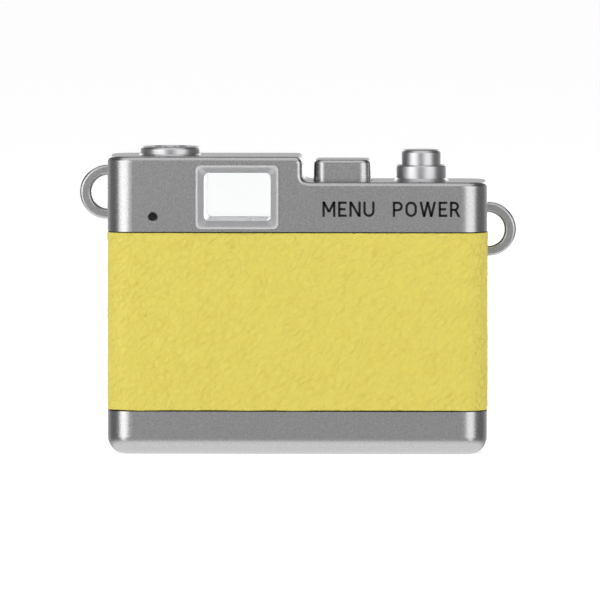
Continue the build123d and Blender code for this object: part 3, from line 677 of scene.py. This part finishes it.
def embossed_vinyl():
    """Yellow vinyl: the sheet's height paints shade into the creases and light onto the crowns, and fine cells
    wrinkle it.
    """
    material, tree, shader = finish("embossed_yellow_vinyl", "#C6B84D", 0, 0.5, IOR=1.5)
    height = add(tree, "Attribute", {"attribute_name": "emboss"}).outputs["Fac"]
    # Painted shade and light: by the sheet's height, the creases get a darker yellow and the crowns a lighter
    # one.
    tree.links.new(tint(tree, "#C0AF40", "#C6B84D", height), shader.inputs["Base Color"])
    tree.links.new(mottle(tree, 0.4, 0.42, 0.58), shader.inputs["Roughness"])
    place = add(tree, "TexCoord").outputs["Object"]
    stretch = {"Rotation": (0, -SLANT, 0), "Scale": (STRETCH, 1, 1)}
    turned = add(tree, "Mapping", {"vector_type": "TEXTURE"}, stretch, {"Vector": place})
    net = {"Scale": per_metre(FINE_WRINKLE)}
    cells = add(tree, "TexVoronoi", {"feature": "DISTANCE_TO_EDGE"}, net, {"Vector": turned.outputs["Vector"]})
    crease = add(tree, "MapRange", sockets={"From Max": 0.25}, links={"Value": cells.outputs["Distance"]})
    fade = mottle(tree, FADE_SIZE, -0.3, 0.8)
    faded = add(tree, "Mix", {"data_type": "FLOAT"}, {"B": 1.0}, {"Factor": fade})
    tree.links.new(crease.outputs["Result"], faded.inputs["A"])
    relief(tree, shader, faded.outputs["Result"], FINE_DEPTH)
    return material


vinyl = embossed_vinyl()

# %% Sheet builders
CUT_WAVER = 0.07 * MM
WAVER_LENGTH = 3 * MM
NOTCH_ROOM = 0.08 * MM
NOTCH_HALF = 0.85 * MM
notch_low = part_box("strap_lug_right")[0].z - NOTCH_ROOM


def sheet_points(along, up, side, seed):
    """Places flat sheet points on the body and returns them with their relief.

    up runs from 0 to 1 between the sheet's lower and upper edge. The lower edge wavers a
    little, as hand-cut vinyl does, and the upper edge drops below the right lug's root."""
    x, y, nx, ny = walk_outline(along, side)
    waver = CUT_WAVER * (smooth_noise(along / WAVER_LENGTH + 20, along * 0, seed + 11) - 0.5)
    top = np.where((x > half_width - MM) & (np.abs(y) < NOTCH_HALF), notch_low, band_high)
    low = band_low + waver
    z = low + up * (top - low)
    edge = np.minimum(np.minimum(z - low, top - z), half_length - np.abs(along))
    height = embossing(along, z, seed)
    out = PROUD + height - rolled(np.clip(edge, 0, None))
    points = np.stack([x + nx * out, y + ny * out, z], -1)
    return points, 1 + height / (PEBBLE_DEPTH + WRINKLE_DEPTH)


def finish_sheet(piece, heights, node):
    """Welds the sheet, gives it the vinyl's thickness and lets it stand for its CAD node."""
    attribute = piece.data.attributes.new("emboss", "FLOAT", "POINT")
    attribute.data.foreach_set("value", np.clip(heights, 0, 1).astype(np.float32))
    weld(piece)
    wall = piece.modifiers.new("thickness", "SOLIDIFY")
    wall.thickness = SKIN - PROUD
    wall.offset = -1
    wall.use_even_offset = False
    apply_modifiers(piece)
    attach(piece, "root")
    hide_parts(node)
    print(piece.name, "triangles:", sum(len(p.vertices) - 2 for p in piece.data.polygons))


# %% Rear sheet
along = spaced(-half_length, half_length, GRID)
up = (spaced(band_low, band_high, GRID) - band_low) / (band_high - band_low)
A, U = np.meshgrid(along, up, indexing="ij")
points, heights = sheet_points(A.ravel(), U.ravel(), -1, seed=3)
rear_sheet = mesh_object("leatherette_rear_embossed", points, grid_faces(len(along), len(up)), vinyl)
finish_sheet(rear_sheet, heights, "leatherette_rear")

# %% [markdown]
# The front sheet has a round hole for the lens. Its field is three patches: plain grids to
# the left and right, and between them a square patch whose rings blend from the circle to
# the square, so that every edge is a clean line of points.

# %% Front sheet
lens_low, lens_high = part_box("lens_flange")
hole_radius = (lens_high.x - lens_low.x) / 2 + 0.05 * MM
middle_z = (lens_low.z + lens_high.z) / 2
PATCH_HALF = 12 * MM
RINGS = 36


def ring_patch():
    """Points between the lens hole and a rectangle round it, ring by ring.

    Each ray from the centre to a point of the rectangle crosses the hole's circle; rings
    divide the ray from the circle to the rectangle in even steps."""
    column = np.stack([np.full(len(up), PATCH_HALF), band_low + up * (band_high - band_low)], 1)
    row = np.linspace(-PATCH_HALF, PATCH_HALF, round(2 * PATCH_HALF / GRID))
    top = np.stack([row[::-1], np.full(len(row), band_high)], 1)
    bottom = np.stack([row, np.full(len(row), band_low)], 1)
    left = column[::-1] * [-1, 1]
    border = np.concatenate([column, top[1:], left[1:], bottom[1:]])
    offset = border - [0, middle_z]
    circle = offset / np.linalg.norm(offset, axis=1)[:, None] * hole_radius
    share = np.linspace(0, 1, RINGS)[:, None, None]
    return circle + share * (offset - circle) + [0, middle_z], len(border)


rings, ring_length = ring_patch()
ring_along, ring_z = rings[..., 0].ravel(), rings[..., 1].ravel()
side_along = spaced(-half_length, -PATCH_HALF, GRID)
parts = [(ring_along, (ring_z - band_low) / (band_high - band_low), grid_faces(RINGS, ring_length))]
for run in (side_along, -side_along[::-1]):
    A, U = np.meshgrid(run, up, indexing="ij")
    parts.append((A.ravel(), U.ravel(), grid_faces(len(run), len(up))))
placed, relief_heights, faces, start = [], [], [], 0
for part_along, part_up, part_faces in parts:
    points, heights = sheet_points(part_along, part_up, 1, seed=29)
    placed.append(points)
    relief_heights.append(heights)
    faces.append(part_faces + start)
    start += len(points)
placed, faces = np.concatenate(placed), np.concatenate(faces)
front_sheet = mesh_object("leatherette_front_embossed", placed, faces, vinyl)
finish_sheet(front_sheet, np.concatenate(relief_heights), "leatherette_front")

# %% [markdown]
# ## Printed words
#
# Two words are pad-printed in black under the buttons: plain capitals with an even, thin
# stroke. A text object would bring a font with it, so each letter is made of flat ribbons a
# hundredth of a millimetre thick. Straight strokes are bars cut level at both ends; round
# strokes are ribbons that follow arcs.

# %% Strokes
CAP_HEIGHT = 1.79 * MM
STROKE = 0.28 * MM
INK = 0.012 * MM
LETTER_GAP = 0.3 * MM
ARC_STEPS = 20


def arc(x, z, radius, start, end):
    """Points on a circle between two angles in degrees, counted from +X towards +Z."""
    turn = np.radians(np.linspace(start, end, ARC_STEPS))
    return np.stack([x + radius * np.cos(turn), z + radius * np.sin(turn)], 1)


def ribbon(line):
    """The two sides of a ribbon along a smooth line of points.

    At each point the ribbon is offset half a stroke along the normal, which is the line's
    direction turned by a right angle."""
    line = np.asarray(line, float)
    ahead = np.gradient(line, axis=0)
    ahead /= np.linalg.norm(ahead, axis=1)[:, None]
    normal = np.stack([-ahead[:, 1], ahead[:, 0]], 1) * STROKE / 2
    return line + normal, line - normal


def bar(x_low, z_low, x_high, z_high):
    """A straight stroke cut level at both ends: its level width is the stroke divided by
    the sine of its slope."""
    length = math.hypot(x_high - x_low, z_high - z_low)
    half = STROKE / 2 * length / abs(z_high - z_low)
    ends = np.array([(x_low, z_low), (x_high, z_high)])
    return ends - [half, 0], ends + [half, 0]


def arm(x_low, x_high, z):
    """A level stroke."""
    ends = np.array([(x_low, z), (x_high, z)])
    return ends + [0, STROKE / 2], ends - [0, STROKE / 2]


# %% [markdown]
# A letter is a width and its strokes. All measures come from the capital height and the
# stroke, with the stroke's middle half a stroke inside the letter's box.

# %% Letters
IN, TOP, MID = STROKE / 2, CAP_HEIGHT - STROKE / 2, CAP_HEIGHT / 2


def upright(x):
    return bar(x, 0, x, CAP_HEIGHT)


def bowl(width, low):
    """A round-ended loop that starts and ends at the stem: the upper part of P and R."""
    radius = (TOP - low) / 2
    turn = arc(width - IN - radius, (TOP + low) / 2, radius, 90, -90)
    return ribbon(np.concatenate([[(IN, TOP)], turn, [(IN, low)]]))


def letter_e(width):
    arms = [arm(IN, width, IN), arm(IN, width - STROKE / 2, MID), arm(IN, width, TOP)]
    return [upright(IN)] + arms


def letter_m(width):
    foot = 0.3 * CAP_HEIGHT
    slopes = [bar(width / 2, foot, end, CAP_HEIGHT) for end in (IN, width - IN)]
    return [upright(IN), upright(width - IN)] + slopes


def letter_n(width):
    return [upright(IN), upright(width - IN), bar(width - IN, 0, IN, CAP_HEIGHT)]


def letter_u(width):
    radius = width / 2 - IN
    turn = arc(width / 2, IN + radius, radius, 180, 360)
    return [ribbon(np.concatenate([[(IN, CAP_HEIGHT)], turn, [(width - IN, CAP_HEIGHT)]]))]


def letter_o(width):
    radius = width / 2 - IN
    top = arc(width / 2, TOP - radius, radius, 0, 180)
    bottom = arc(width / 2, IN + radius, radius, 180, 360)
    return [ribbon(np.concatenate([[(width - IN, MID)], top, bottom, [(width - IN, MID)]]))]


def letter_p(width):
    return [upright(IN), bowl(width, 0.44 * CAP_HEIGHT)]


def letter_r(width):
    low = 0.46 * CAP_HEIGHT
    return [upright(IN), bowl(width - IN, low), bar(width - IN, 0, 0.55 * width, low)]


def letter_w(width):
    quarter = (width - 2 * IN) / 4
    feet = [IN + quarter * i for i in range(5)]
    return [bar(feet[low], 0, feet[high], CAP_HEIGHT) for low, high in ((1, 0), (1, 2), (3, 2), (3, 4))]


LETTERS = {
    "E": (1.02, letter_e), "M": (1.52, letter_m), "N": (1.33, letter_n), "U": (1.31, letter_u),
    "O": (1.34, letter_o), "P": (1.17, letter_p), "R": (1.20, letter_r), "W": (1.93, letter_w),
}


# %% Words on the rear face
MENU_FROM, POWER_FROM, FOOT_ABOVE_BAND = 3.0 * MM, 11.2 * MM, 1.9 * MM
INK_SHEEN = 0.2


def slab(left, right, x, z):
    """A closed slab of ink between two sides, lying on the rear face."""
    count = len(left)
    flat = np.concatenate([left, right]) + [x, z]
    outer = np.stack([flat[:, 0], np.full(2 * count, rear_y - INK), flat[:, 1]], 1)
    inner = outer + [0, 1.5 * INK, 0]
    i = np.arange(count - 1)
    l, r, depth = i, i + count, 2 * count
    faces = [
        np.stack([l, l + 1, r + 1, r], 1),
        np.stack([l, r, r + 1, l + 1], 1) + depth,
        np.stack([l, l + depth, l + 1 + depth, l + 1], 1),
        np.stack([r, r + 1, r + 1 + depth, r + depth], 1),
        np.array([[0, count, count + depth, depth]]),
        np.array([[count - 1, count - 1 + depth, 2 * count - 1 + depth, 2 * count - 1]]),
    ]
    return np.concatenate([outer, inner]), np.concatenate(faces)


def printed_word(word, x, z, material):
    """A word of ribbons that starts at x and stands on z."""
    points, faces, start = [], [], 0
    for letter in word:
        width, strokes = LETTERS[letter]
        for left, right in strokes(width * MM):
            slab_points, slab_faces = slab(left, right, x, z)
            points.append(slab_points)
            faces.append(slab_faces + start)
            start += len(slab_points)
        x += width * MM + LETTER_GAP
    name = "printed_word_" + word.lower()
    piece = mesh_object(name, np.concatenate(points), np.concatenate(faces), material)
    for polygon in piece.data.polygons:
        polygon.use_smooth = False
    weld(piece, 0)
    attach(piece, "root")
    print(word, "ends at, mm:", round((x - LETTER_GAP) / MM, 2))


ink = moulded("black_printing_ink", "#060607", "#0D0D0E", 0.6, 0.1, 0.002)
ink.node_tree.nodes["Principled BSDF"].inputs["Specular IOR Level"].default_value = INK_SHEEN
word_foot = band_high + FOOT_ABOVE_BAND
printed_word("MENU", MENU_FROM, word_foot, ink)
printed_word("POWER", POWER_FROM, word_foot, ink)
